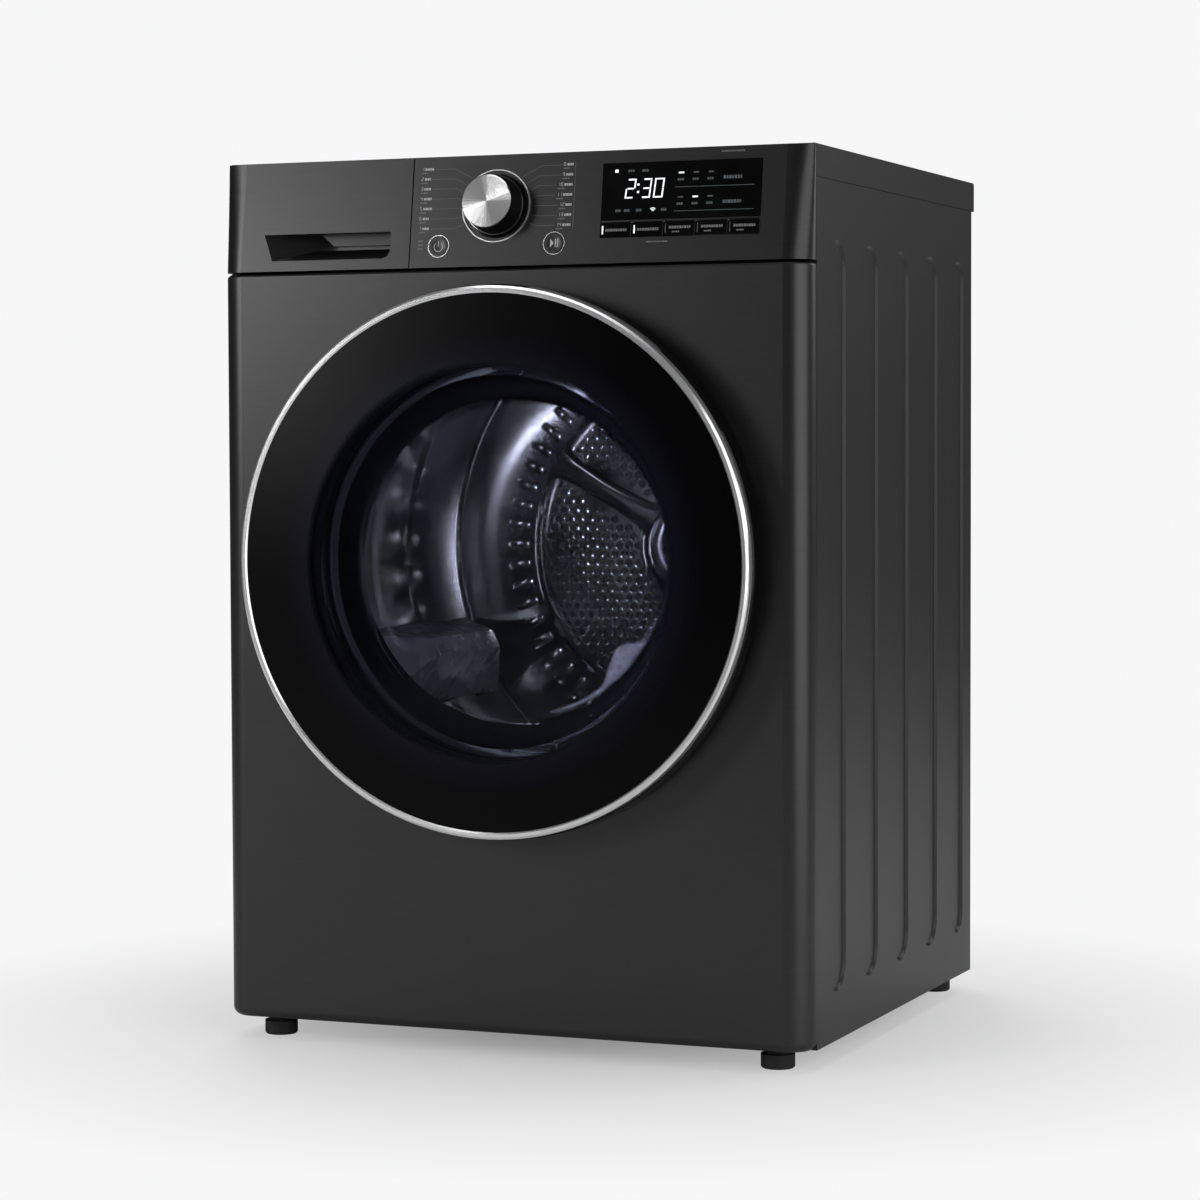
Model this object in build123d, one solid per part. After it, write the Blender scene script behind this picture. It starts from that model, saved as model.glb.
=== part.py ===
"""Front-loading heat-pump clothes dryer, built as an assembly of separate pieces.

Frame: millimetres, +Z up, the front faces -Y, the origin is on the floor under the middle of
the machine's bounding box. Depths into the machine are written as FRONT + depth, where FRONT
is the plane of the front panel's flat face and depth grows towards the back.
"""

from build123d import *
from math import asin, atan2, cos, degrees, hypot, pi, radians, sin
import os

os.makedirs("parts", exist_ok=True)

# ---------------------------------------------------------------- driving dimensions
WIDTH = 600.0
HEIGHT = 850.0
FRONT = -262.0  # flat face of the front panel
SIDE_DEPTH = 540.0  # front face to the side panels' rear edge
LIP_DEPTH = 554.0  # front face to the worktop's rear lip
REAR_DEPTH = 570.0  # front face to the back of the rear duct cover
HALF = WIDTH / 2
SHEET = 1.2  # steel sheet
BASE_Z = 20.0  # underside of the cabinet above the floor
SEAM_LOW = 742.0  # top of the front panel
SEAM_HIGH = 744.0  # bottom of the control panel
SKIRT_Z = 820.0  # bottom of the worktop's skirt
CORNER_R = 24.0  # rounded vertical corners of the front
WRAP = 26.0  # how far the front wraps round the sides
AXIS_Z = 467.0  # height of the drum and door centre line

# Control panel: the face leans back towards the top
LEAN = 15.0
PANEL_TOP = 849.0
PANEL_ANGLE = degrees(atan2(LEAN, PANEL_TOP - SEAM_HIGH))
PANEL_WALL = 2.5
SPLIT_X = -97.0  # joint between the water drawer's front and the control panel
SPLIT_GAP = 0.6
DIAL_X, DIAL_Z = -9.5, 800.5
DIAL_R = 31.0
SPINDLE_R = 4.0
BEZEL_R = 34.8
BUTTON_Z = 764.0
BUTTON_R = 9.2
POWER_X, START_X = -67.0, 51.0
DISPLAY_X0, DISPLAY_X1 = 96.5, 253.5
DISPLAY_Z0, DISPLAY_Z1 = 783.5, 837.0
KEY_Z0, KEY_Z1 = 767.5, 782.0
KEY_COUNT = 5

# Door
DOOR_R = 259.0
RING_R = 257.7
RING_IN_R = 250.8
GLASS_R = 250.3
HINGE_X = -254.0
HINGE_AHEAD = 22.0  # hinge axis in front of the front panel
HINGE_REACH = 52.0  # half height of the hinge pocket
GRIP_X = 229.0
GRIP_HALF = 62.0
LATCH_X = 212.0
OPENING_R = 199.0
THROAT_R = 186.0

# Drum
DRUM_R = 284.0
DRUM_WALL = 1.0
DRUM_Y0, DRUM_Y1 = 84.0, 524.0
DRUM_FACE = DRUM_Y1 - 1.4
LIFTERS = 3
LIFTER_FIRST_DEG = 206.0
SPOKE_FIRST_DEG = 150.0
LIFTER_NOSE, LIFTER_TAIL = 118.0, 60.0
SHAFT_R = 12.5
ROLLER_R = 30.0
ROLLER_DEG = 35.0
ROLLER_GAP = 0.3

# Belt drive
BELT_Y0, BELT_Y1 = 336.0, 348.0
BELT_THICK = 3.0
PULLEY_R = 11.0
MOTOR_X, MOTOR_Z = -150.0, 104.0

FOOT_FRONT = (258.0, 38.0)
FOOT_REAR = (268.0, 516.0)
FOOT_R = 16.0
STUD_R = 5.0

DRUM_AXIS = Axis((0, 0, AXIS_Z), (0, -1, 0))
parts = {}


# ---------------------------------------------------------------- helpers
def block(x0, x1, d0, d1, z0, z1):
    """Box between two corners, with its Y given as depths behind the front face."""
    return Pos((x0 + x1) / 2, FRONT + (d0 + d1) / 2, (z0 + z1) / 2) * Box(
        abs(x1 - x0), abs(d1 - d0), abs(z1 - z0)
    )


def rod_y(r, d0, d1, x=0.0, z=AXIS_Z):
    """Cylinder along Y between two depths."""
    return Pos(x, FRONT + (d0 + d1) / 2, z) * Rot(90, 0, 0) * Cylinder(r, abs(d1 - d0))


def ring_y(r_out, r_in, d0, d1, x=0.0, z=AXIS_Z):
    """Tube along Y between two depths."""
    return rod_y(r_out, d0, d1, x, z) - rod_y(r_in, d0 - 1, d1 + 1, x, z)


def rod_z(r, z0, z1, x, d):
    """Cylinder along Z."""
    return Pos(x, FRONT + d, (z0 + z1) / 2) * Cylinder(r, abs(z1 - z0))


def rod_x(r, x0, x1, d, z):
    """Cylinder along X."""
    return Pos((x0 + x1) / 2, FRONT + d, z) * Rot(0, 90, 0) * Cylinder(r, abs(x1 - x0))


def turned(points, x=0.0, z=AXIS_Z):
    """Revolves an outline of (radius, depth) points about the Y axis through (x, z)."""
    outline = Polyline(*[(r, FRONT + d) for r, d in points], close=True)
    return Pos(x, 0, z) * revolve(make_face(outline), Axis.Y)


def panel_depth(z):
    """Depth of the leaning control face at height z."""
    return LEAN * (z - SEAM_HIGH) / (PANEL_TOP - SEAM_HIGH)


def on_panel(x, z):
    """Location on the leaning face: local +Z points out of the panel, local +Y up along it."""
    return Pos(x, FRONT + panel_depth(z), z) * Rot(90 - PANEL_ANGLE, 0, 0)


def polar(radius, deg):
    """(x, z) of a point on a circle about the drum axis."""
    return radius * cos(radians(deg)), AXIS_Z + radius * sin(radians(deg))


def save(name, shape):
    """Keeps a piece and writes its STEP file."""
    parts[name] = shape
    export_step(shape, f"parts/{name}.step")


# ---------------------------------------------------------------- cabinet sheets
def front_block(inset, z0, z1, low_r, high_r):
    """Solid outline of the front pan, drawn in by inset on every face but the back."""
    r = CORNER_R - inset
    body = block(-HALF + inset, HALF - inset, inset, WRAP + inset, z0 + inset, z1 - inset)
    upright = body.edges().filter_by(Axis.Z).sort_by(Axis.Y)[:2]
    body = fillet(upright, r)
    low = body.faces().sort_by(Axis.Z)[0].edges()
    body = fillet([e for e in low if e.center().Y < FRONT + WRAP + inset - 0.1], low_r - inset)
    high = body.faces().sort_by(Axis.Z)[-1].edges()
    rim = [e for e in high if e.center().Y < FRONT + WRAP + inset - 0.1]
    return fillet(rim, high_r - inset)


def front_panel():
    """Drawn steel front with a round door opening, collar, latch slot and rear flanges."""
    pan = front_block(0, BASE_Z, SEAM_LOW, 9.0, 3.5) - front_block(
        SHEET, BASE_Z, SEAM_LOW, 9.0, 3.5
    )
    pan -= rod_y(OPENING_R, -2, 5)
    collar = ring_y(OPENING_R + SHEET, OPENING_R, 0.6, 11)
    latch_slot = block(LATCH_X - 8, LATCH_X + 8, -2, 5, AXIS_Z - 15, AXIS_Z + 11)
    ledge = block(-HALF + 4, -HALF + 16, WRAP - SHEET, WRAP, 40, 720)
    other = block(HALF - 16, HALF - 4, WRAP - SHEET, WRAP, 40, 720)
    edge_l = block(-HALF + 0.6, -HALF + 4.5, WRAP - SHEET, WRAP, 40, 720)
    edge_r = block(HALF - 4.5, HALF - 0.6, WRAP - SHEET, WRAP, 40, 720)
    return pan + collar - latch_slot + ledge + other + edge_l + edge_r


RIB_COUNT = 5
RIB_PITCH = 101.0
RIB_WIDE = 52.0
RIB_DEEP = 2.6
RIB_FIRST = 86.0
RIB_Z0, RIB_Z1 = 66.0, 765.0


def side_panel(sign):
    """Steel side with five long pressed-in panels and inward flanges."""
    x_out = sign * HALF
    x_in = sign * (HALF - SHEET)
    front, back, top = WRAP + 0.5, SIDE_DEPTH, SKIRT_Z - 0.5
    panel = block(x_in, x_out, front, back, BASE_Z, top)
    flange = sign * (HALF - 10)
    panel += block(flange, x_out, front, front + SHEET, BASE_Z, top)
    panel += block(flange, x_out, back - SHEET, back, BASE_Z, top)
    panel += block(flange, x_out, front, back, BASE_Z, BASE_Z + SHEET)
    panel += block(flange, x_out, front, back, top - SHEET, top)
    facing = Rot(0, 90 * sign, 0)
    for i in range(RIB_COUNT):
        depth = RIB_FIRST + i * RIB_PITCH
        wide = RIB_WIDE if i < RIB_COUNT - 1 else RIB_WIDE - 12
        middle = (RIB_Z0 + RIB_Z1) / 2
        outline = SlotOverall(RIB_Z1 - RIB_Z0, wide)
        at = Pos(x_out, FRONT + depth, middle) * facing
        backing = SlotOverall(RIB_Z1 - RIB_Z0 + 2, wide + 2)
        swell = at * Pos(0, 0, -RIB_DEEP - SHEET) * extrude(backing, RIB_DEEP + 0.2)
        hollow = at * extrude(outline, -RIB_DEEP, taper=45)
        panel = panel + swell - hollow
    return panel


def worktop():
    """Top plate with a skirt on both sides and at the back."""
    x, d0, d1 = HALF, WRAP + 0.5, LIP_DEPTH
    outer = block(-x, x, d0, d1, SKIRT_Z, HEIGHT)
    rear = outer.edges().filter_by(Axis.Z).sort_by(Axis.Y)[-2:]
    outer = fillet(rear, 5)
    rim = outer.faces().sort_by(Axis.Z)[-1].edges()
    outer = fillet([e for e in rim if e.center().Y > FRONT + d0 + 0.1], 2.0)
    skin = 1.5
    inner = block(-x + skin, x - skin, d0 - 1, d1 - skin, SKIRT_Z - 1, HEIGHT - skin)
    nose = block(-x + 2, x - 2, d0, d0 + skin, HEIGHT - 12, HEIGHT - 1)
    return outer - inner + nose


def duct_outline(grow):
    """Face of the rear air channel: a disc round the drum axis and a leg down to the fan."""
    disc = Pos(0, AXIS_Z) * Circle(222 + grow)
    leg = Pos(MOTOR_X, 250) * Rectangle(150 + 2 * grow, 340 + 2 * grow)
    leg = fillet(leg.vertices(), 30)
    return Plane((0, FRONT, 0), x_dir=(1, 0, 0), z_dir=(0, -1, 0)) * (disc + leg)


def rear_panel():
    """Flat steel back with the air channel's opening, louvres and screw flange."""
    sheet = block(-HALF + 1.6, HALF - 1.6, SIDE_DEPTH + 0.2, SIDE_DEPTH + 1.4, 22, 818)
    hole = Pos(0, SIDE_DEPTH + 3, 0) * extrude(duct_outline(-12), 6)
    sheet -= hole
    for i in range(9):
        z = 66 + i * 13
        sheet -= block(120, 255, SIDE_DEPTH - 2, SIDE_DEPTH + 4, z, z + 5)
    sheet -= rod_y(9.4, SIDE_DEPTH - 2, SIDE_DEPTH + 4, DRAIN_X, DRAIN_Z)
    sheet -= rod_y(11.2, SIDE_DEPTH - 2, SIDE_DEPTH + 4, CORD_X, CORD_Z)
    return sheet


DRAIN_X, DRAIN_Z = -245.0, 772.0
CORD_X, CORD_Z = 238.0, 772.0


def rear_duct_cover():
    """Raised cover that carries hot air from the fan up to the back of the drum."""
    d0 = SIDE_DEPTH + 1.5
    outer = Pos(0, REAR_DEPTH, 0) * extrude(duct_outline(0), REAR_DEPTH - d0)
    back = outer.faces().sort_by(Axis.Y)[-1]
    outer = fillet(back.edges(), 12)
    inner = Pos(0, REAR_DEPTH - 1.4, 0) * extrude(duct_outline(-1.4), REAR_DEPTH - d0 + 5)
    inner_back = inner.faces().sort_by(Axis.Y)[-1]
    inner = fillet(inner_back.edges(), 10.6)
    return outer - inner


def panel_screws():
    """Pan-head screws of the rear panel, the rear duct cover and the worktop."""
    back, lip = SIDE_DEPTH + 1.5, LIP_DEPTH + 0.1
    places = [(x, z, back) for x in (-275, 275) for z in (60, 430, 800)]
    places += [(*polar(236, deg), back) for deg in (15, 60, 120, 165, 340)]
    places += [(x, 834, lip) for x in (-220, 220)]
    return Compound(children=[rod_y(4.5, d, d + 2.8, x, z) for x, z, d in places])


def base_tub():
    """Moulded base: rim, foot bosses, heat-exchanger walls, motor cradle, compressor pillars."""
    d0, d1 = WRAP + 4, SIDE_DEPTH - 4
    floor_z = BASE_Z + 5.5
    tub = block(-294, 294, d0, d1, BASE_Z + 2, 62)
    tub -= block(-290.5, 290.5, d0 + 3.5, d1 - 3.5, floor_z, 70)
    walls = block(-276, -34, 56, 326, 24, HX_TOP) - block(-272, -38, 59.5, 322.5, floor_z, 190)
    walls -= block(FILTER_OUT_X0, FILTER_OUT_X1, 50, 62, 100, 150)
    tub += walls
    for x, d in foot_places():
        tub += rod_z(21, BASE_Z + 2, 50, x, d)
    for d in (360, 416):
        tub += block(MOTOR_X - 40, MOTOR_X + 40, d, d + 4, floor_z - 1, 70)
    tub -= rod_y(52.3, 350, 430, MOTOR_X, MOTOR_Z)
    for sx in (-1, 1):
        for sd in (-1, 1):
            tub += rod_z(11, floor_z - 1, 45.9, COMPRESSOR_X + 58 * sx, COMPRESSOR_D + 50 * sd)
    for x, d in foot_places():
        tub -= rod_z(STUD_R + 0.05, 10, 60, x, d)
    return tub


HX_TOP = 160.0
FILTER_OUT_X0, FILTER_OUT_X1 = -80.0, -44.0
COMPRESSOR_X, COMPRESSOR_D = 196.0, 176.0


def foot_places():
    """(x, depth) of the four feet."""
    return [
        (-FOOT_FRONT[0], FOOT_FRONT[1]),
        (FOOT_FRONT[0], FOOT_FRONT[1]),
        (-FOOT_REAR[0], FOOT_REAR[1]),
        (FOOT_REAR[0], FOOT_REAR[1]),
    ]


def foot(x, d):
    """Levelling foot: rubber-shod pad, hexagon collar and threaded stud."""
    pad = rod_z(FOOT_R, 0, 13.5, x, d)
    pad = chamfer(pad.edges().sort_by(Axis.Z)[0], 1.5)
    collar = Pos(x, FRONT + d, 13) * extrude(RegularPolygon(13, 6), 5.5)
    stud = rod_z(STUD_R, 10, 46, x, d)
    return pad + collar + stud


# ---------------------------------------------------------------- front bulkhead and throat
FILTER_D0, FILTER_D1 = 55.0, 72.0
FILTER_HALF = 92.0
FILTER_Z0 = 188.0


def front_bulkhead():
    """Plastic wall behind the front panel: throat, felt carrier, filter duct and roller pins."""
    wall = block(-292, 292, 74, 77, 172, 738) + block(100, 288, 74, 77, BASE_Z + 5.8, 173)
    wall += block(-289, -279, 74, 77, BASE_Z + 5.8, 173)
    wall -= rod_y(THROAT_R + 3, 70, 80)
    throat = ring_y(THROAT_R + 3, THROAT_R, 12.5, 80)
    carrier = ring_y(262, 258.5, 76, 98)
    slot = block(-FILTER_HALF - 0.6, FILTER_HALF + 0.6, FILTER_D0 - 0.6, FILTER_D1 + 0.6, 184, 320)
    duct = block(-FILTER_HALF - 4, FILTER_HALF + 4, FILTER_D0 - 4, FILTER_D1 + 2.2, 181, 300)
    duct += block(FILTER_OUT_X0, FILTER_OUT_X1, FILTER_D0 - 4, FILTER_D1 - 4, HX_TOP + 7, 184)
    duct -= rod_y(THROAT_R + 0.5, 0, 90)
    duct -= block(FILTER_OUT_X0 + 3, FILTER_OUT_X1 - 3, FILTER_D0 - 1, FILTER_D1 - 7, 150, 190)
    body = wall + throat + carrier + duct - slot
    body -= rod_y(THROAT_R, 0, 79)
    for sign in (-1, 1):
        x, z = roller_place(sign)
        body += rod_y(12, 70, 91.5, x, z) + rod_y(6.0, 80, 118, x, z)
    lamp_seat = block(-27, 27, 33, 55, AXIS_Z + THROAT_R - 6, AXIS_Z + THROAT_R + 9)
    return body - lamp_seat


def roller_place(sign):
    """(x, z) of a drum support roller's axle."""
    reach = DRUM_R + ROLLER_R + ROLLER_GAP
    return sign * reach * sin(radians(ROLLER_DEG)), AXIS_Z - reach * cos(radians(ROLLER_DEG))


def door_gasket():
    """Rubber lip seal on the front of the throat."""
    points = [(189.2, 12), (189.2, 2), (190.5, -1.5), (193, -2.7), (195.5, -1.5)]
    points += [(197.6, 2), (198, 12)]
    return turned(points)


def lint_filter():
    """Filter cassette whose top follows the throat, with a grip bar."""
    body = block(-FILTER_HALF, FILTER_HALF, FILTER_D0, FILTER_D1, FILTER_Z0, 318)
    body -= rod_y(THROAT_R + 0.8, 0, 90)
    inside = block(-FILTER_HALF + 3, FILTER_HALF - 3, FILTER_D0 + 2, FILTER_D1 - 2, FILTER_Z0 + 3, 330)
    throat_skin = ring_y(THROAT_R + 3.6, THROAT_R + 0.8, 40, 90)
    shell = body - inside + (body & throat_skin)
    for i in range(11):
        x = -75 + i * 15
        shell -= block(x - 3.5, x + 3.5, FILTER_D0 + 4, FILTER_D1 - 4, 200, 330)
    for side in (FILTER_D0, FILTER_D1 - 2):
        for i in range(6):
            z = FILTER_Z0 + 12 + i * 13
            wide = FILTER_HALF - 12
            shell -= block(-wide, wide, side - 1, side + 3, z, z + 8)
            shell += block(-4, 4, side, side + 2, z - 1, z + 9)
    grip = block(-26, 26, FILTER_D0 + 6, FILTER_D1 - 6, 280, 291) - block(
        -20, 20, FILTER_D0, FILTER_D1, 270, 287.5
    )
    return shell + grip


def drum_lamp():
    """Lamp lens set into the top of the throat."""
    return block(-26.5, 26.5, 33.5, 54.5, AXIS_Z + THROAT_R - 5.2, AXIS_Z + THROAT_R + 2)


# ---------------------------------------------------------------- drum and its supports
def drum_shell():
    """Stainless drum wall with rolled beads and a turned-in front lip."""
    w = DRUM_WALL
    outer = [(268, DRUM_Y0), (DRUM_R, DRUM_Y0), (DRUM_R, 128), (280, 134), (280, 176)]
    outer += [(DRUM_R, 182), (DRUM_R, 238), (280, 244), (280, 290), (DRUM_R, 296)]
    outer += [(DRUM_R, 384), (280, 390), (280, 432), (DRUM_R, 438), (DRUM_R, DRUM_Y1)]
    inner = [(r - w, d) for r, d in reversed(outer[1:])]
    inner[-1] = (DRUM_R - w, DRUM_Y0 + w)
    return turned(outer + inner + [(268, DRUM_Y0 + w)])


def drum_rear_panel():
    """Back of the drum: flat rim, stepped air grille, three spokes and a closed hub."""
    t = 1.2
    rim = DRUM_R - DRUM_WALL - 0.1
    sunk = DRUM_FACE - 9
    points = [(rim, DRUM_FACE - 14), (rim, DRUM_FACE + t), (190, DRUM_FACE + t), (182, sunk + t)]
    points += [(0, sunk + t), (0, sunk), (182.6, sunk), (190.6, DRUM_FACE)]
    points += [(rim - t, DRUM_FACE), (rim - t, DRUM_FACE - 14)]
    disc = turned(points)
    grille = []
    for ring, (radius, count) in enumerate([(78, 12), (102, 16), (126, 20), (150, 24), (168, 27)]):
        for i in range(count):
            deg = 360 * (i + 0.5 * (ring % 2)) / count
            off_spoke = abs((deg - SPOKE_FIRST_DEG + 60) % 120 - 60)
            if radians(off_spoke) * radius > 21:
                x, z = polar(radius, deg)
                grille.append(rod_y(6, sunk - 3, sunk + 3, x, z))
    disc -= grille
    disc += turned([(0, sunk), (58, sunk), (50, sunk - 11), (0, sunk - 11)])
    for i in range(LIFTERS):
        spoke = block(46, 180, sunk - 7, sunk + 0.5, AXIS_Z - 13, AXIS_Z + 13)
        spoke = chamfer(spoke.faces().sort_by(Axis.Y)[0].edges(), 5)
        disc += spoke.rotate(DRUM_AXIS, SPOKE_FIRST_DEG + 120 * i)
    return disc


def lifter_wedge(half, tip, foot_r, tip_r, d0, d1):
    """Wedge along the drum whose two ends slope down to the wall."""
    plan = Polyline((-half, foot_r), (half, foot_r), (tip, tip_r), (-tip, tip_r), close=True)
    plane = Plane((0, FRONT + d0, AXIS_Z), x_dir=(0, 0, 1), z_dir=(0, 1, 0))
    wedge = extrude(plane * make_face(plan), d1 - d0)
    side = Polyline(
        (foot_r + 1, FRONT + d0),
        (tip_r - 1, FRONT + d0 + LIFTER_NOSE),
        (tip_r - 1, FRONT + d1 - LIFTER_TAIL),
        (foot_r + 1, FRONT + d1),
        close=True,
    )
    profile = Pos(0, 0, AXIS_Z - half - 1) * make_face(side)
    return wedge & extrude(profile, 2 * half + 2)


def lifter(index):
    """Hollow baffle that runs along the drum wall."""
    solid = lifter_wedge(44, 10, 274.8, 227, 165, 502)
    solid -= lifter_wedge(39, 8, 275.8, 231, 173, 494)
    deg = LIFTER_FIRST_DEG + 120 * index
    return solid.rotate(DRUM_AXIS, deg)


def drum_shaft():
    """Flanged stub shaft riveted to the back of the drum."""
    start = DRUM_FACE - 7.6
    return rod_y(44, start, start + 3) + rod_y(SHAFT_R, start, DRUM_FACE + 30)


def rear_bulkhead():
    """Rear wall with the drum's air opening, four arms and the bearing hub."""
    wall = block(-292, 292, 531, 534, 62.4, 758) - rod_y(186, 520, 540)
    wall += ring_y(36, 10, 531, 545)
    for deg in (45, 135, 225, 315):
        arm = block(30, 190, 531, 537.5, AXIS_Z - 11, AXIS_Z + 11)
        wall += arm.rotate(DRUM_AXIS, deg)
    duct_hole = block(MOTOR_X - 40.4, MOTOR_X + 40.4, 525, 540, 175.6, 188.4)
    return wall - rod_y(SHAFT_R + 0.05, 525, 550) - duct_hole


def front_felt():
    """Felt band that seals the drum's front lip."""
    return ring_y(267.5, 262.1, 79, 97)


def roller(sign):
    """Drum support roller with a rubber tyre groove."""
    x, z = roller_place(sign)
    wheel = ring_y(ROLLER_R, 6.05, 92, 112, x, z)
    return wheel - ring_y(24, 12, 90, 96, x, z) - ring_y(24, 12, 108, 114, x, z)


# ---------------------------------------------------------------- belt drive and fan
def loop_face(r_big, r_small):
    """Outline of a belt round the drum and the motor pulley, as a face in the XZ plane."""
    dx, dz = MOTOR_X, MOTOR_Z - AXIS_Z
    reach = hypot(dx, dz)
    heading = atan2(dz, dx)
    spread = pi / 2 - asin((r_big - r_small) / reach)
    corners = []
    drum_end, motor_end = (r_big, 0, 0), (r_small, dx, dz)
    for side, (r, cx, cz) in ((1, drum_end), (1, motor_end), (-1, motor_end), (-1, drum_end)):
        a = heading + side * spread
        corners.append((cx + r * cos(a), cz + r * sin(a)))
    hull = make_face(Polyline(*corners, close=True))
    return hull + Circle(r_big) + Pos(dx, dz) * Circle(r_small)


def drive_belt():
    """Poly-V belt round the drum and the motor pulley."""
    gap = 0.3
    outer = loop_face(DRUM_R + gap + BELT_THICK, PULLEY_R + gap + BELT_THICK)
    inner = loop_face(DRUM_R + gap, PULLEY_R + gap)
    plane = Plane((0, FRONT + BELT_Y1, AXIS_Z), x_dir=(1, 0, 0), z_dir=(0, -1, 0))
    return extrude(plane * (outer - inner), BELT_Y1 - BELT_Y0)


def motor_body():
    """Motor can with end bells, open at the shaft."""
    can = ring_y(52, 46, 356, 424, MOTOR_X, MOTOR_Z)
    for d in (352, 424):
        can += ring_y(50, 8.5, d, d + 4, MOTOR_X, MOTOR_Z)
    stator = ring_y(45.9, 30, 366, 414, MOTOR_X, MOTOR_Z)
    return can + stator


def motor_rotor():
    """Rotor and shaft with the grooved belt pulley at the front end."""
    shaft = rod_y(8, 334, 494, MOTOR_X, MOTOR_Z) + rod_y(29.4, 368, 412, MOTOR_X, MOTOR_Z)
    shaft += rod_y(PULLEY_R, BELT_Y0 - 0.6, BELT_Y1 + 0.6, MOTOR_X, MOTOR_Z)
    for d in (BELT_Y0 - 2.2, BELT_Y1 + 0.6):
        shaft += rod_y(PULLEY_R + 3, d, d + 1.6, MOTOR_X, MOTOR_Z)
    return shaft


def fan_wheel():
    """Centrifugal fan wheel with forward blades between two discs."""
    wheel = ring_y(60, 8.02, 484, 487, MOTOR_X, MOTOR_Z)
    wheel += ring_y(60, 47, 442, 444, MOTOR_X, MOTOR_Z)
    wheel += ring_y(16, 8.02, 470, 487, MOTOR_X, MOTOR_Z)
    for i in range(20):
        blade = block(48, 59.5, 443, 485, MOTOR_Z - 0.9, MOTOR_Z + 0.9)
        wheel += (Pos(MOTOR_X, 0, 0) * blade).rotate(Axis((MOTOR_X, 0, MOTOR_Z), (0, -1, 0)), 18 * i)
    return wheel


def fan_scroll():
    """Volute housing round the fan, with an inlet ring and a rear outlet."""
    shell = rod_y(74, 436, 498, MOTOR_X, MOTOR_Z) - rod_y(71, 439, 495, MOTOR_X, MOTOR_Z)
    shell -= rod_y(42, 430, 442, MOTOR_X, MOTOR_Z)
    tower = block(MOTOR_X - 42, MOTOR_X + 42, 470, 498, MOTOR_Z + 50, 198)
    tower -= block(MOTOR_X - 39, MOTOR_X + 39, 473, 495, MOTOR_Z + 40, 195)
    tower -= rod_y(71, 439, 495, MOTOR_X, MOTOR_Z)
    shell -= block(MOTOR_X - 39, MOTOR_X + 39, 473, 495, MOTOR_Z + 40, MOTOR_Z + 74)
    spout = block(MOTOR_X - 40, MOTOR_X + 40, 498, 530, 176, 188)
    spout -= block(MOTOR_X - 37, MOTOR_X + 37, 490, 535, 179, 185)
    tower -= block(MOTOR_X - 37, MOTOR_X + 37, 490, 500, 179, 185)
    return shell + tower + spout


# ---------------------------------------------------------------- heat pump and services
def fin_block(x0, x1, d0, d1, z0, z1, pitch):
    """Stack of thin fins held by two tube rows and end plates."""
    end = 3.0
    stack = block(x0, x0 + end, d0, d1, z0, z1) + block(x1 - end, x1, d0, d1, z0, z1)
    count = int((x1 - x0 - 2 * end) / pitch)
    for i in range(1, count):
        x = x0 + end + i * (x1 - x0 - 2 * end) / count
        stack += block(x - 0.5, x + 0.5, d0, d1, z0, z1)
    rows = max(1, int((d1 - d0) / 44))
    for row in range(rows):
        for level in range(3):
            d = d0 + (row + 0.5) * (d1 - d0) / rows
            z = z0 + (level + 0.5) * (z1 - z0) / 3
            stack += rod_x(5, x0 - 2, x1 + 2, d, z)
    return stack


def heat_exchanger_lid():
    """Cover over both heat exchangers."""
    lid = block(-278, -32, 54, 328, HX_TOP + 0.3, HX_TOP + 6)
    lid -= block(-272, -38, 59.5, 322.5, HX_TOP - 2, HX_TOP + 3)
    return lid - block(FILTER_OUT_X0 + 1, FILTER_OUT_X1 - 1, 62, 70, HX_TOP - 5, HX_TOP + 10)


def compressor():
    """Hermetic compressor shell with domed ends, mounting plate and accumulator."""
    x, d = COMPRESSOR_X, COMPRESSOR_D
    points = [(0, 50), (52, 50), (54, 58), (54, 186), (48, 202), (24, 212), (0, 214)]
    outline = Polyline(*points, close=True)
    pot = Pos(x, FRONT + d, 0) * revolve(Plane.XZ * make_face(outline), Axis.Z)
    cavity = [(0, 54), (48, 54), (50, 60), (50, 184), (44, 198), (22, 208), (0, 210)]
    pot -= Pos(x, FRONT + d, 0) * revolve(Plane.XZ * make_face(Polyline(*cavity, close=True)), Axis.Z)
    plate = block(x - 72, x + 72, d - 62, d + 62, 46, 50)
    bottle = rod_z(20, 80, 168, x + 76, d + 20)
    strap = block(x + 40, x + 70, d + 10, d + 30, 118, 126) - rod_z(53, 40, 210, x, d)
    return pot + plate + fillet(bottle.edges(), 8) + strap


def drain_spigot():
    """Hose spigot on the back panel, with a barb and a flange."""
    body = rod_y(8.5, SIDE_DEPTH - 20, SIDE_DEPTH + 29.5, DRAIN_X, DRAIN_Z)
    body += rod_y(13, SIDE_DEPTH + 1.5, SIDE_DEPTH + 4, DRAIN_X, DRAIN_Z)
    return body - rod_y(6, SIDE_DEPTH - 30, SIDE_DEPTH + 40, DRAIN_X, DRAIN_Z)


def cord_gland():
    """Bushing in the back panel where the mains lead enters."""
    body = rod_y(11, SIDE_DEPTH - 8, SIDE_DEPTH + 8, CORD_X, CORD_Z)
    body += rod_y(15, SIDE_DEPTH + 1.5, SIDE_DEPTH + 4.5, CORD_X, CORD_Z)
    return body - rod_y(4.5, SIDE_DEPTH - 20, SIDE_DEPTH + 20, CORD_X, CORD_Z)


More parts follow.
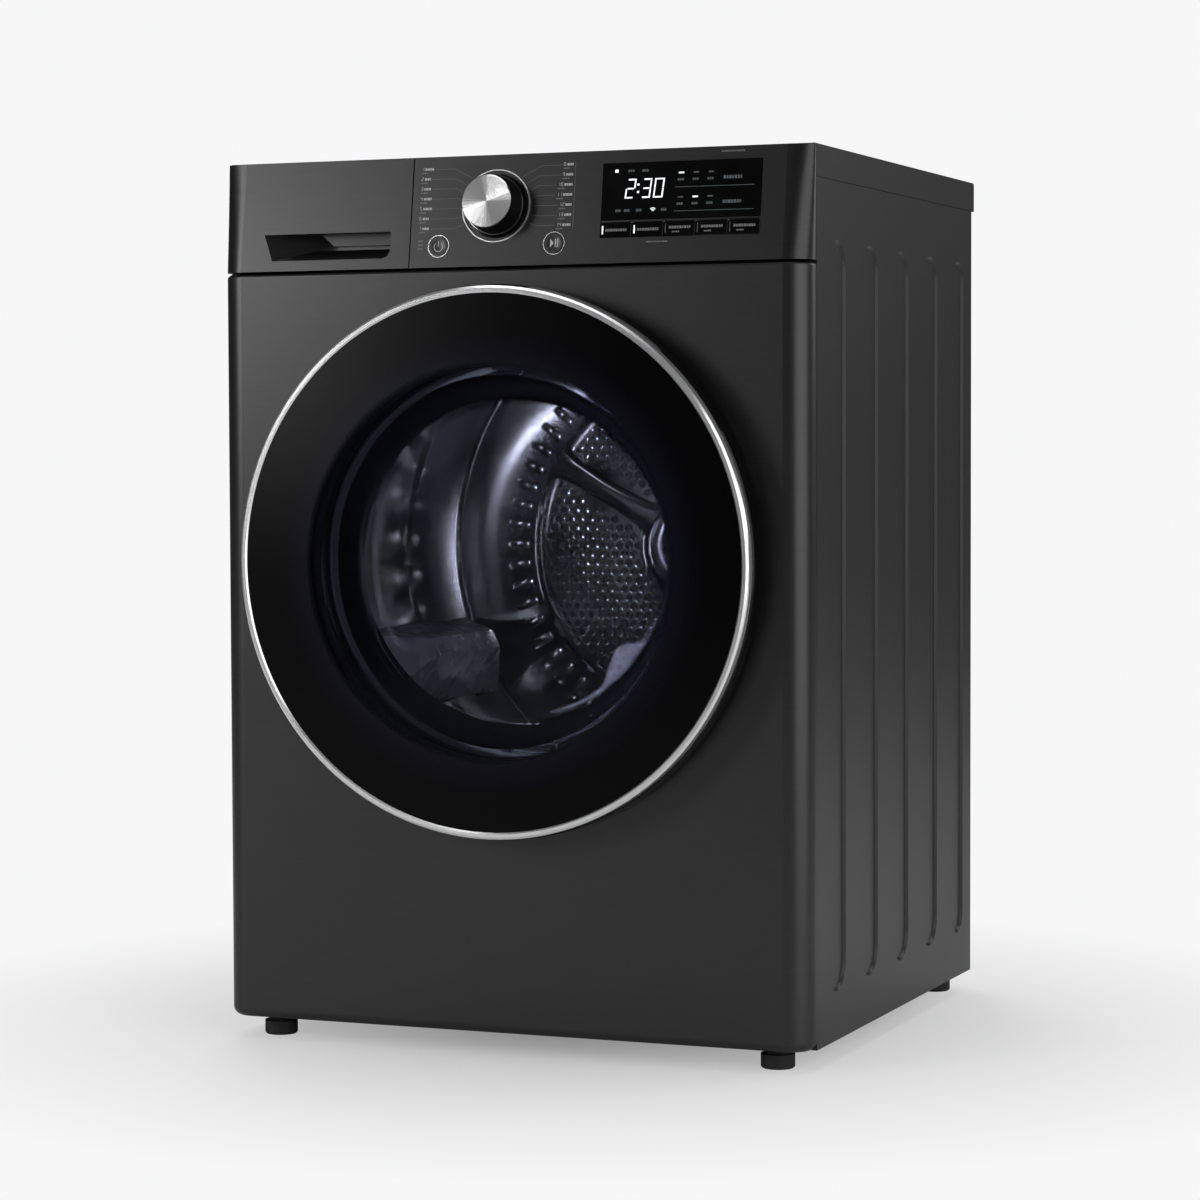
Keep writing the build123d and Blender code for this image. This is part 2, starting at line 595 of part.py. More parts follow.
# ---------------------------------------------------------------- control panel
def fascia_section(z, inset):
    """Outline of the fascia at height z, with its front corners rounded."""
    x = HALF - inset
    face = FRONT + panel_depth(z) + inset / cos(radians(PANEL_ANGLE))
    back = FRONT + WRAP + inset
    wide = CORNER_R - inset
    deep = min(CORNER_R, WRAP - panel_depth(z) - 1) - inset
    front = Line((wide - x, face), (x - wide, face))
    right = EllipticalCenterArc((x - wide, face + deep), wide, deep, -90, arc_size=90)
    rest = Polyline((x, face + deep), (x, back), (-x, back), (-x, face + deep))
    left = EllipticalCenterArc((wide - x, face + deep), wide, deep, 180, arc_size=90)
    return Pos(0, 0, z) * make_face([front, right, rest, left])


def fascia_block(inset):
    """Leaning front of the control panel as a solid across the whole width."""
    low, top = SEAM_HIGH + inset, PANEL_TOP - inset
    return loft([fascia_section(low, inset), fascia_section(top, inset)], ruled=True)


def fascia_shell():
    """Thin-walled leaning front, open at the back."""
    return fascia_block(0) - fascia_block(PANEL_WALL)


def key_x(i):
    """Left and right edge of an option key."""
    pitch = (DISPLAY_X1 - DISPLAY_X0) / KEY_COUNT
    return DISPLAY_X0 + i * pitch + 0.5, DISPLAY_X0 + (i + 1) * pitch - 0.5


def panel_plate(x0, x1, z0, z1, out0, out1):
    """Plate lying on the leaning face, between two heights above it."""
    middle = (z0 + z1) / 2
    high = (z1 - z0) / cos(radians(PANEL_ANGLE))
    return on_panel((x0 + x1) / 2, middle) * Pos(0, 0, (out0 + out1) / 2) * Box(
        x1 - x0, high, out1 - out0
    )


def panel_rod(x, z, r, out0, out1):
    """Cylinder square to the leaning face."""
    return on_panel(x, z) * Pos(0, 0, (out0 + out1) / 2) * Cylinder(r, out1 - out0)


def control_panel():
    """Control fascia right of the drawer, with openings for dial, buttons, display and keys."""
    body = fascia_shell() & block(SPLIT_X + SPLIT_GAP, HALF + 1, -5, WRAP, 740, 855)
    body += block(SPLIT_X + SPLIT_GAP, SPLIT_X + SPLIT_GAP + 2, WRAP - 3, WRAP + 12, 748, 836)
    body -= panel_rod(DIAL_X, DIAL_Z, SPINDLE_R + 0.05, -8, 8)
    for x in (POWER_X, START_X):
        body -= panel_rod(x, BUTTON_Z, BUTTON_R + 0.4, -8, 8)
    body -= panel_plate(DISPLAY_X0, DISPLAY_X1, DISPLAY_Z0, DISPLAY_Z1, -8, 8)
    body -= panel_plate(DISPLAY_X0, DISPLAY_X1, KEY_Z0, KEY_Z1, -8, 8)
    return body


def display_window():
    """Smoked display lens, flush with the panel."""
    return panel_plate(DISPLAY_X0 + 0.2, DISPLAY_X1 - 0.2, DISPLAY_Z0 + 0.2, DISPLAY_Z1 - 0.2, -2.4, 0.15)


def option_key(i):
    """One push key of the row under the display."""
    x0, x1 = key_x(i)
    key = panel_plate(x0, x1, KEY_Z0 + 0.5, KEY_Z1 - 0.5, -4.0, 0.25)
    return chamfer(key.faces().sort_by(Axis.Y)[0].edges(), 0.3)


def push_button(x):
    """Round push button with a shallow dish."""
    body = panel_rod(x, BUTTON_Z, BUTTON_R, -5, 0.9)
    dish = on_panel(x, BUTTON_Z) * Pos(0, 0, 60.5) * Sphere(60)
    return body - dish


def button_ring(x):
    """Bright trim ring round a button."""
    ring = panel_rod(x, BUTTON_Z, BUTTON_R + 1.7, 0.05, 0.6)
    return ring - panel_rod(x, BUTTON_Z, BUTTON_R + 0.9, -1, 3)


def dial_bezel():
    """Bright ring round the programme dial."""
    ring = panel_rod(DIAL_X, DIAL_Z, BEZEL_R, 0.05, 1.6)
    return ring - panel_rod(DIAL_X, DIAL_Z, BEZEL_R - 1.3, -1, 3)


def dial_body():
    """Tapered dial that turns on its spindle."""
    cone = on_panel(DIAL_X, DIAL_Z) * Pos(0, 0, 11.6) * Cone(DIAL_R - 0.6, 25.4, 22.4)
    spindle = panel_rod(DIAL_X, DIAL_Z, SPINDLE_R, -6, 2)
    return cone + spindle


def dial_cap():
    """Spun metal cap on the dial's face."""
    cap = panel_rod(DIAL_X, DIAL_Z, 24.8, 22.85, 24.6)
    return chamfer(cap.edges().sort_by(Axis.Y)[0], 0.6)


# ---------------------------------------------------------------- water drawer
HANDLE_X0, HANDLE_X1 = -271.0, -117.0
HANDLE_TOP, HANDLE_LOW = 779.5, 752.0
TANK_D0, TANK_D1 = 29.7, 480.0
TANK_X0, TANK_X1 = -288.4, -101.6
TANK_Z0, TANK_Z1 = 764.0, 832.0


def scoop(grow):
    """Finger pocket: straight upper lip, ramp that runs out to the face at the bottom."""
    x0, x1 = HANDLE_X0 - grow, HANDLE_X1 + grow
    top, low = HANDLE_TOP + grow, HANDLE_LOW - grow
    deep = 21.0 + grow
    mouth = [(x0, top), (x1, top), (x1, low + 8), (x1 - 3, low + 2), (x1 - 9, low), (x0 + 20, low)]
    floor_z = top - 12
    back = [(x0 + 70, top), (x1 - 3, top), (x1 - 3, floor_z + 3), (x1 - 5, floor_z + 1)]
    back += [(x1 - 8, floor_z), (x0 + 84, floor_z)]
    front = Polyline(*mouth, close=True)
    rear = Polyline(*back, close=True)
    near = Plane((0, FRONT - 2, 0), x_dir=(1, 0, 0), z_dir=(0, -1, 0))
    far = Plane((0, FRONT + deep + 4, 0), x_dir=(1, 0, 0), z_dir=(0, -1, 0))
    return loft([near * make_face(front), far * make_face(rear)])


def drawer_front():
    """Front of the water drawer, with a finger pocket under a straight lip."""
    limit = block(-HALF - 1, SPLIT_X - SPLIT_GAP, -5, WRAP, 740, 855)
    body = fascia_shell() & limit
    end_wall = (fascia_block(0.2) & block(SPLIT_X - SPLIT_GAP - 2, SPLIT_X - SPLIT_GAP, -5, WRAP, 740, 855))
    pocket_wall = (scoop(2.2) & fascia_block(1.0)) & limit
    stretch = scoop(2.2) & block(-HALF, SPLIT_X, WRAP - 4, WRAP + 3.5, 740, 855)
    return body + end_wall + pocket_wall + stretch - scoop(0)


def tank_body():
    """Long closed water container behind the drawer front, with a filler well in its top."""
    tank = block(TANK_X0, TANK_X1, TANK_D0, TANK_D1, TANK_Z0, TANK_Z1)
    tank = fillet(tank.edges().filter_by(Axis.Y).sort_by(Axis.Z)[:2], 12)
    wall = 2.2
    inner = block(TANK_X0 + wall, TANK_X1 - wall, TANK_D0 + wall, TANK_D1 - wall,
                  TANK_Z0 + wall, TANK_Z1 - wall)
    inner = fillet(inner.edges().filter_by(Axis.Y).sort_by(Axis.Z)[:2], 12 - wall)
    return tank - inner - rod_z(16, TANK_Z1 - 5, TANK_Z1 + 5, -195, 430)


def drawer_rail():
    """Tray that guides the water container over the drum."""
    tray = block(TANK_X0 - 2.6, TANK_X1 + 2.6, 36, 500, TANK_Z0 - 3, 790)
    return tray - block(TANK_X0 - 0.6, TANK_X1 + 0.6, 30, 497, TANK_Z0 - 0.3, 800)


# ---------------------------------------------------------------- door
def hinge_pocket():
    """Space in the door's rim for the hinge, open to the side and back."""
    return block(-DOOR_R - 4, HINGE_X + 27, -29.9, 0, AXIS_Z - HINGE_REACH, AXIS_Z + HINGE_REACH)


def grip_pocket():
    """Finger space behind the door's free edge."""
    return block(GRIP_X, DOOR_R + 4, -23, 0, AXIS_Z - GRIP_HALF, AXIS_Z + GRIP_HALF)


def door_frame():
    """Outer door moulding: rolled rim and the land that carries the glass."""
    points = [(186, -33), (250.4, -33), (250.4, -30.3), (DOOR_R - 1.4, -30.3), (DOOR_R, -28.5)]
    points += [(DOOR_R, -13), (257.5, -8), (253, -4.4), (251, -4.2), (251, -7.2), (254.6, -10)]
    points += [(256, -13.5), (256, -27.3), (190, -30), (186, -30)]
    return turned(points) - hinge_pocket() - grip_pocket()


def door_inner_frame():
    """Back moulding of the door that clamps the bowl."""
    points = [(184.6, -29.6), (184.6, -6), (188, -3.2), (250.6, -3.2), (250.6, -6.2)]
    points += [(190.5, -6.2), (187.6, -9), (187.6, -29.6)]
    body = turned(points) - hinge_pocket() - grip_pocket()
    grip_back = block(GRIP_X - 3, DOOR_R - 9, -24.5, -23.1, AXIS_Z - GRIP_HALF, AXIS_Z + GRIP_HALF)
    body += grip_back & rod_y(252, -40, 0)
    body += block(GRIP_X - 2.5, GRIP_X, -24, -4, AXIS_Z - GRIP_HALF, AXIS_Z + GRIP_HALF)
    pocket_wall = HINGE_X + 27.1
    body += block(pocket_wall, pocket_wall + 3, -28, -4, AXIS_Z - HINGE_REACH, AXIS_Z + HINGE_REACH)
    return body


def door_ring():
    """Bright trim ring round the door glass."""
    points = [(RING_IN_R, -30.4), (RING_IN_R, -39.6), (252.2, -40.9), (255.2, -40.9)]
    points += [(257.2, -39.2), (RING_R, -37), (RING_R, -30.4)]
    return turned(points)


GLASS_CROWN = 46.0
GLASS_EDGE = 38.6


def domed_disc(edge_r, front_edge, front_crown, thick):
    """Disc with a domed front and a parallel back."""
    rise = front_crown - front_edge
    radius = (edge_r**2 + rise**2) / (2 * rise)
    ball = Pos(0, FRONT - front_crown + radius, AXIS_Z) * Sphere(radius)
    blank = rod_y(edge_r, -front_crown - 1, thick - front_edge)
    return (blank & ball) - Pos(0, thick, 0) * ball


def door_glass():
    """Tempered outer glass, slightly domed."""
    return domed_disc(GLASS_R, GLASS_EDGE, GLASS_CROWN, 3.2)


def door_bowl():
    """Pressed inner bowl that reaches into the throat."""
    points = [(184, -16), (184, -12), (176, -12), (172, -6), (160, 34), (150, 43), (120, 47.5), (0, 50)]
    points += [(0, 46), (119.6, 43.5), (148, 39.4), (156.4, 32), (168.6, -8), (174, -16)]
    return turned(points)


HINGE_PIN_R = 2.5


def hinge_bracket():
    """Cabinet half of the hinge: a plate on the front panel with two arms and the pin."""
    body = block(HINGE_X - 1, HINGE_X + 22, -2.4, -0.05, AXIS_Z - 44, AXIS_Z + 44)
    for z in (AXIS_Z - 30, AXIS_Z + 30):
        body += block(HINGE_X + 0.5, HINGE_X + 4.6, -HINGE_AHEAD, -1, z - 7, z + 7)
        body += rod_z(4.6, z - 7, z + 7, HINGE_X, -HINGE_AHEAD)
    return body + rod_z(HINGE_PIN_R, AXIS_Z - 37, AXIS_Z + 37, HINGE_X, -HINGE_AHEAD)


def door_hinge_leaf():
    """Door half of the hinge: barrel round the pin and a plate on the door frame."""
    ahead = HINGE_AHEAD
    leaf = rod_z(4.6, AXIS_Z - 22, AXIS_Z + 22, HINGE_X, -ahead)
    leaf += block(HINGE_X + 2, HINGE_X + 26.8, -ahead - 3, -ahead, AXIS_Z - 22, AXIS_Z + 22)
    leaf += block(HINGE_X + 24, HINGE_X + 26.8, -ahead - 3, -7, AXIS_Z - 46, AXIS_Z + 46)
    return leaf - rod_z(HINGE_PIN_R + 0.05, AXIS_Z - 50, AXIS_Z + 50, HINGE_X, -ahead)


def latch_hook():
    """Hook on the door that enters the slot in the front panel."""
    stem = block(LATCH_X - 4, LATCH_X + 4, -3.1, 13, AXIS_Z - 4, AXIS_Z + 4)
    nose = block(LATCH_X - 4, LATCH_X + 4, 8, 13, AXIS_Z - 8, AXIS_Z + 4)
    root = block(LATCH_X - 7, LATCH_X + 7, -3.1, -1.6, AXIS_Z - 12, AXIS_Z + 12)
    return stem + nose + root


# ---------------------------------------------------------------- build everything
save("front_panel", front_panel())
for label, side in (("left", -1), ("right", 1)):
    save(f"{label}_side_panel", side_panel(side))
save("worktop", worktop())
save("rear_panel", rear_panel())
save("rear_duct_cover", rear_duct_cover())
save("panel_screws", panel_screws())
save("base_tub", base_tub())
for label, (x, d) in zip(("front_left", "front_right", "rear_left", "rear_right"), foot_places()):
    save(f"foot_{label}", foot(x, d))

save("front_bulkhead", front_bulkhead())
save("door_gasket", door_gasket())
save("lint_filter", lint_filter())
save("drum_lamp", drum_lamp())
save("front_felt", front_felt())
save("rear_bulkhead", rear_bulkhead())
save("drum_shell", drum_shell())
save("drum_rear_panel", drum_rear_panel())
for i in range(LIFTERS):
    save(f"drum_lifter_{i + 1}", lifter(i))
save("drum_shaft", drum_shaft())
for label, side in (("left", -1), ("right", 1)):
    save(f"roller_{label}", roller(side))

save("drive_belt", drive_belt())
save("motor_body", motor_body())
save("motor_rotor", motor_rotor())
save("fan_wheel", fan_wheel())
save("fan_scroll", fan_scroll())

save("evaporator", fin_block(-270, -40, 64, 166, 30, 156, 9))
save("condenser", fin_block(-270, -40, 178, 318, 30, 156, 9))
save("heat_exchanger_lid", heat_exchanger_lid())
save("compressor", compressor())
save("drain_spigot", drain_spigot())
save("cord_gland", cord_gland())

save("control_panel", control_panel())
save("display_window", display_window())
for i in range(KEY_COUNT):
    save(f"option_key_{i + 1}", option_key(i))
save("power_button", push_button(POWER_X))
save("start_button", push_button(START_X))
save("control_rings", Compound(children=[dial_bezel(), button_ring(POWER_X), button_ring(START_X)]))
save("dial_body", dial_body())
save("dial_cap", dial_cap())

save("drawer_front", drawer_front())
save("tank_body", tank_body())
save("drawer_rail", drawer_rail())

save("door_frame", door_frame())
save("door_inner_frame", door_inner_frame())
save("door_ring", door_ring())
save("door_glass", door_glass())
save("door_bowl", door_bowl())
save("hinge_bracket", hinge_bracket())
save("door_hinge_leaf", door_hinge_leaf())
save("latch_hook", latch_hook())
print(len(parts), "nodes")
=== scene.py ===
"""Looks of a front-loading clothes dryer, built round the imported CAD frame. Metres, +Z up, front -Y."""
from math import atan2, cos, radians, sin, sqrt, tau

import bmesh
import bpy
from mathutils import Matrix, Vector


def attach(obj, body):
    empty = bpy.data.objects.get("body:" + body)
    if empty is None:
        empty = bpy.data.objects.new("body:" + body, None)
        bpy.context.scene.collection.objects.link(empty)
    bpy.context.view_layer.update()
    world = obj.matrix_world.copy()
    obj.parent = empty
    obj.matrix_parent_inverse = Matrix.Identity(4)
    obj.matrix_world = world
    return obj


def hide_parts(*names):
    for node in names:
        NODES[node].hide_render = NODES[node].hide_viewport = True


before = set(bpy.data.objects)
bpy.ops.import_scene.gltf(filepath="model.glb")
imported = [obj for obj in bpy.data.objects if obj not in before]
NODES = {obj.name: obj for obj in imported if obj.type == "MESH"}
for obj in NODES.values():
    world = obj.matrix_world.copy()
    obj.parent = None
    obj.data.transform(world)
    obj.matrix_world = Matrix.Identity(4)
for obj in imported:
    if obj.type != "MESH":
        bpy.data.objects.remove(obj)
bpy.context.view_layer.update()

# Metres in one millimetre, and how close two mesh points are, in metres, when they are welded.
MM = 0.001
WELD = 0.00001

# Places on the CAD in millimetres: the front plane, the height of the drum and door axis, the control
# face's bottom, top and backward lean, and the dial's centre and how far its cap stands out.
FRONT = -262.0
AXIS_Z = 467.0
PANEL_LOW, PANEL_HIGH, LEAN = 744.0, 849.0, 15.0
TILT = atan2(LEAN, PANEL_HIGH - PANEL_LOW)
DIAL = (-9.5, 800.5)
DIAL_PROUD = 24.6

# The two round buttons, and the row of option keys with its first left edge and spacing.
POWER_X, START_X = -67.0, 51.0
KEY_FIRST_X, KEY_PITCH, KEY_COUNT = 97.0, 31.4, 5


# ---------------------------------------------------------------- node material helpers
def new_material(name):
    """Empty node material with its tree and output node."""
    material = bpy.data.materials.new(name)
    material.use_nodes = True
    tree = material.node_tree
    tree.nodes.clear()
    output = tree.nodes.new("ShaderNodeOutputMaterial")
    return material, tree, output


def add(tree, kind, **values):
    """New node with some of its properties set."""
    node = tree.nodes.new(kind)
    for key, value in values.items():
        setattr(node, key, value)
    return node


def math_node(tree, operation, a, b=None, clamp=False):
    """Output of a math node whose inputs are numbers or sockets."""
    node = add(tree, "ShaderNodeMath", operation=operation, use_clamp=clamp)
    for socket, value in zip(node.inputs, (a, b)):
        if value is None:
            continue
        if isinstance(value, (int, float)):
            socket.default_value = value
        else:
            tree.links.new(value, socket)
    return node.outputs[0]


def radius_of(tree, parts):
    """Length of the vector whose two parts are sockets."""
    squares = [math_node(tree, "MULTIPLY", part, part) for part in parts]
    return math_node(tree, "SQRT", math_node(tree, "ADD", *squares))


def mix(tree, weight, first, second):
    """Shader that goes from the first to the second as the weight goes from 0 to 1."""
    node = add(tree, "ShaderNodeMixShader")
    for socket, source in zip(node.inputs, (weight, first, second)):
        tree.links.new(source, socket)
    return node.outputs[0]


def ramp(tree, source, stops):
    """Colour looked up along (place, colour) stops."""
    node = add(tree, "ShaderNodeValToRGB")
    elements = node.color_ramp.elements
    while len(elements) < len(stops):
        elements.new(0.5)
    for element, (place, colour) in zip(elements, stops):
        element.position = place
        element.color = (*colour, 1.0)
    tree.links.new(source, node.inputs[0])
    return node.outputs[0]


def grey(value):
    """Neutral colour of one linear value."""
    return (value, value, value)


def coordinates(tree, scale=(1, 1, 1), shift=(0, 0, 0)):
    """Object coordinates, stretched and shifted."""
    source = add(tree, "ShaderNodeTexCoord")
    mapping = add(tree, "ShaderNodeMapping")
    mapping.inputs["Scale"].default_value = scale
    mapping.inputs["Location"].default_value = shift
    tree.links.new(source.outputs["Object"], mapping.inputs["Vector"])
    return mapping.outputs["Vector"]


def noise(tree, vector, scale, detail=4.0):
    """Value of a soft noise at a vector."""
    node = add(tree, "ShaderNodeTexNoise")
    node.inputs["Scale"].default_value = scale
    node.inputs["Detail"].default_value = detail
    node.inputs["Roughness"].default_value = 0.55
    tree.links.new(vector, node.inputs["Vector"])
    return node.outputs["Fac"]


def bump(tree, height, strength, distance):
    """Normal raised by a height."""
    node = add(tree, "ShaderNodeBump")
    node.inputs["Strength"].default_value = strength
    node.inputs["Distance"].default_value = distance
    tree.links.new(height, node.inputs["Height"])
    return node.outputs["Normal"]


def finish_material(name, colours, rough, metallic=0.0, grain=(1, 1, 1), scale=40.0, detail=4.0,
                    lift=0.1, lift_depth=0.0002, coat=0.0, specular=0.5):
    """Principled finish whose colour, roughness and relief all follow one stretched noise."""
    material, tree, output = new_material(name)
    shader = add(tree, "ShaderNodeBsdfPrincipled")
    shader.inputs["Metallic"].default_value = metallic
    shader.inputs["Coat Weight"].default_value = coat
    shader.inputs["Coat Roughness"].default_value = 0.04
    shader.inputs["Specular IOR Level"].default_value = specular
    value = noise(tree, coordinates(tree, grain), scale, detail)
    for (low, high), socket in ((colours, "Base Color"), ([grey(r) for r in rough], "Roughness")):
        tree.links.new(ramp(tree, value, [(0.3, low), (0.7, high)]), shader.inputs[socket])
    if lift:
        tree.links.new(bump(tree, value, lift, lift_depth), shader.inputs["Normal"])
    tree.links.new(shader.outputs[0], output.inputs[0])
    return material


def radius_from_axis(tree):
    """Distance of the shaded point from the door and drum axis, in metres."""
    split = add(tree, "ShaderNodeSeparateXYZ")
    tree.links.new(coordinates(tree, shift=(0, 0, -AXIS_Z * MM)), split.inputs[0])
    return radius_of(tree, (split.outputs["X"], split.outputs["Z"]))


def pane(tree, clear, ior, gloss_rough):
    """Clear shader with a sharp reflection that grows with the angle."""
    gloss = add(tree, "ShaderNodeBsdfGlossy")
    gloss.inputs["Roughness"].default_value = gloss_rough
    fresnel = add(tree, "ShaderNodeFresnel")
    fresnel.inputs["IOR"].default_value = ior
    return mix(tree, fresnel.outputs[0], clear.outputs[0], gloss.outputs[0])


def bowl_glass():
    """Clear moulded glass: tinted transparency, and pale diffuse edges where it is seen side on as a painted
    sheen for the bright rims of the glass.
    """
    material, tree, output = new_material("bowl_glass")
    tint, sheen_share = (0.86, 0.87, 0.91), 0.22
    clear = add(tree, "ShaderNodeBsdfTransparent")
    value = noise(tree, coordinates(tree), 9.0, 3.0)
    low = tuple(c * 0.94 for c in tint)
    tree.links.new(ramp(tree, value, [(0.35, low), (0.65, tint)]), clear.inputs["Color"])
    # Painted sheen: a pale diffuse layer that shows where the glass is seen side on.
    painted_edge_sheen = add(tree, "ShaderNodeBsdfDiffuse")
    painted_edge_sheen.inputs["Color"].default_value = (0.62, 0.64, 0.70, 1)
    facing = add(tree, "ShaderNodeLayerWeight")
    facing.inputs["Blend"].default_value = 0.08
    weight = math_node(tree, "MULTIPLY", facing.outputs["Facing"], sheen_share)
    last = mix(tree, weight, pane(tree, clear, 1.5, 0.02), painted_edge_sheen.outputs[0])
    tree.links.new(last, output.inputs[0])
    return material


def glowing(name, colour, strength):
    """Lit print: an emission whose strength varies slightly over the surface."""
    material, tree, output = new_material(name)
    light = add(tree, "ShaderNodeEmission")
    light.inputs["Color"].default_value = (*colour, 1)
    value = noise(tree, coordinates(tree), 120.0, 2.0)
    painted_highlight_level = math_node(tree, "MULTIPLY", math_node(tree, "ADD", value, 0.5), strength)
    tree.links.new(painted_highlight_level, light.inputs["Strength"])
    tree.links.new(light.outputs[0], output.inputs[0])
    return material


# ---------------------------------------------------------------- finishes
GRAPHITE = finish_material("graphite_brushed", (grey(0.058), grey(0.064)), (0.33, 0.36), metallic=0.9,
                           grain=(1, 1, 60), scale=22, lift=0.012, lift_depth=0.0001)
SIDE_PAINT = finish_material("graphite_side_paint", (grey(0.018), grey(0.022)), (0.34, 0.42), metallic=0.3,
                             scale=900, lift=0.06, lift_depth=0.0001)
PANEL = finish_material("control_fascia", (grey(0.050), grey(0.056)), (0.32, 0.35), metallic=0.9,
                        grain=(1, 1, 60), scale=22, lift=0.01, lift_depth=0.0001)
GALVANISED = finish_material("galvanised_sheet", (grey(0.44), grey(0.50)), (0.36, 0.44), metallic=0.9,
                             scale=70, detail=2.0, lift=0.02)
CHROME = finish_material("bright_trim_chrome", (grey(0.93), grey(0.98)), (0.20, 0.23), metallic=0.85,
                         scale=12, lift=0.0)
BLACK_GLOSS = finish_material("black_gloss", (grey(0.002), grey(0.004)), (0.07, 0.11), scale=25, lift=0.0,
                              specular=0.2)
BLACK_MATT = finish_material("black_moulding", (grey(0.012), grey(0.02)), (0.5, 0.65), scale=700, lift=0.15)
GREY_MATT = finish_material("grey_moulding", (grey(0.20), grey(0.25)), (0.45, 0.6), scale=500, lift=0.1)
LIFTER = finish_material("lifter_moulding", ((0.045, 0.047, 0.056), (0.07, 0.073, 0.085)), (0.22, 0.35),
                         scale=60, lift=0.1, coat=0.5)
RUBBER = finish_material("rubber", (grey(0.010), grey(0.018)), (0.55, 0.75), scale=300, lift=0.3)
FELT = finish_material("felt", ((0.42, 0.4, 0.36), (0.55, 0.53, 0.48)), (0.9, 1.0), scale=600, lift=0.8)
STEEL = finish_material("zinc_steel", (grey(0.45), grey(0.6)), (0.25, 0.4), metallic=1.0, scale=80, lift=0.05)
DRUM = finish_material("drum_stainless", (grey(0.36), grey(0.44)), (0.09, 0.14), metallic=1.0,
                       grain=(1, 60, 1), scale=6, lift=0.03)
FINS = finish_material("alloy_fins", (grey(0.6), grey(0.8)), (0.25, 0.4), metallic=1.0, scale=200, lift=0.05)
BOWL = bowl_glass()
PRINT = finish_material("pale_print", (grey(0.5), grey(0.6)), (0.5, 0.6), scale=400, lift=0.0)
DIM_PRINT = finish_material("dim_print", (grey(0.16), grey(0.2)), (0.5, 0.6), scale=400, lift=0.0)
LED = glowing("display_led", (0.93, 0.97, 1.0), 1.6)
LED_DIM = glowing("display_led_dim", (0.5, 0.56, 0.6), 0.16)
LAMP = glowing("drum_lamp_glow", (0.9, 0.95, 1.0), 0.05)


def window_glass():
    """Door glass: clear navy window in the middle that turns darker and bluer towards its edge, and black
    ceramic print all round it with a painted navy glow next to the window that fades to black outwards.
    """
    material, tree, output = new_material("door_glass_print")
    radius = radius_from_axis(tree)
    clear = add(tree, "ShaderNodeBsdfTransparent")
    shade = ramp(tree, radius, [(0.15, (0.72, 0.73, 0.79)), (0.183, (0.56, 0.58, 0.67))])
    tree.links.new(shade, clear.inputs["Color"])
    black = add(tree, "ShaderNodeBsdfPrincipled")
    black.inputs["Roughness"].default_value = 0.26
    black.inputs["Specular IOR Level"].default_value = 0.09
    # Painted glow: the black print is dark navy next to the window and fades to black outwards.
    shade = ramp(tree, radius, [(0.18, (0.0055, 0.006, 0.012)), (0.197, (0.0028, 0.003, 0.006)),
                                (0.215, (0.0008, 0.0008, 0.0013))])
    tree.links.new(shade, black.inputs["Base Color"])
    edge = ramp(tree, radius, [(0.182, grey(0)), (0.186, grey(1))])
    last = mix(tree, edge, pane(tree, clear, 1.12, 0.03), black.outputs[0])
    tree.links.new(last, output.inputs[0])
    return material


def spun_metal(name, centre, across, up):
    """Spun aluminium: fine turned rings as bump, and two bright fans painted into the base colour as painted
    highlights, standing in for the reflection a lathe finish throws.
    """
    material, tree, output = new_material(name)
    shader = add(tree, "ShaderNodeBsdfPrincipled")
    shader.inputs["Metallic"].default_value = 1.0
    source = add(tree, "ShaderNodeTexCoord")
    offset = add(tree, "ShaderNodeVectorMath", operation="SUBTRACT")
    offset.inputs[1].default_value = centre
    tree.links.new(source.outputs["Object"], offset.inputs[0])
    parts = []
    for axis in (across, up):
        dot = add(tree, "ShaderNodeVectorMath", operation="DOT_PRODUCT")
        dot.inputs[1].default_value = axis
        tree.links.new(offset.outputs[0], dot.inputs[0])
        parts.append(dot.outputs["Value"])
    # Painted highlights: two bright fans and streaks by angle round the cap set the base colour, dark grey to
    # near white, and the roughness.
    angle = math_node(tree, "ARCTAN2", parts[1], parts[0])
    painted_fan_angle = math_node(tree, "SUBTRACT", angle, 0.9)
    painted_fans = math_node(tree, "COSINE", math_node(tree, "MULTIPLY", painted_fan_angle, 2.0))
    streak = add(tree, "ShaderNodeTexNoise", noise_dimensions="1D")
    streak.inputs["Scale"].default_value = 14.0
    tree.links.new(angle, streak.inputs["W"])
    painted_highlight_level = math_node(tree, "ADD", painted_fans, math_node(tree, "MULTIPLY", streak.outputs["Fac"], 0.9))
    tree.links.new(ramp(tree, painted_highlight_level, [(0.0, grey(0.22)), (0.55, grey(0.42)), (1.0, grey(0.95))]),
                   shader.inputs["Base Color"])
    rings = math_node(tree, "SINE", math_node(tree, "MULTIPLY", radius_of(tree, parts), 16000.0))
    tree.links.new(bump(tree, rings, 0.12, 0.00005), shader.inputs["Normal"])
    tree.links.new(ramp(tree, painted_highlight_level, [(0.0, grey(0.34)), (1.0, grey(0.22))]), shader.inputs["Roughness"])
    tree.links.new(shader.outputs[0], output.inputs[0])
    return material


def face_point(x, z, out=0.0):
    """Point on the leaning control face, out of it by so many millimetres, in metres."""
    depth = LEAN * (z - PANEL_LOW) / (PANEL_HIGH - PANEL_LOW)
    return Vector((x, FRONT + depth - out * cos(TILT), z + out * sin(TILT))) * MM


FACE_UP = Vector((0, sin(TILT), cos(TILT)))
SPUN = spun_metal("dial_spun_metal_painted_highlights", face_point(*DIAL, DIAL_PROUD), (1, 0, 0), tuple(FACE_UP))
GLASS = window_glass()

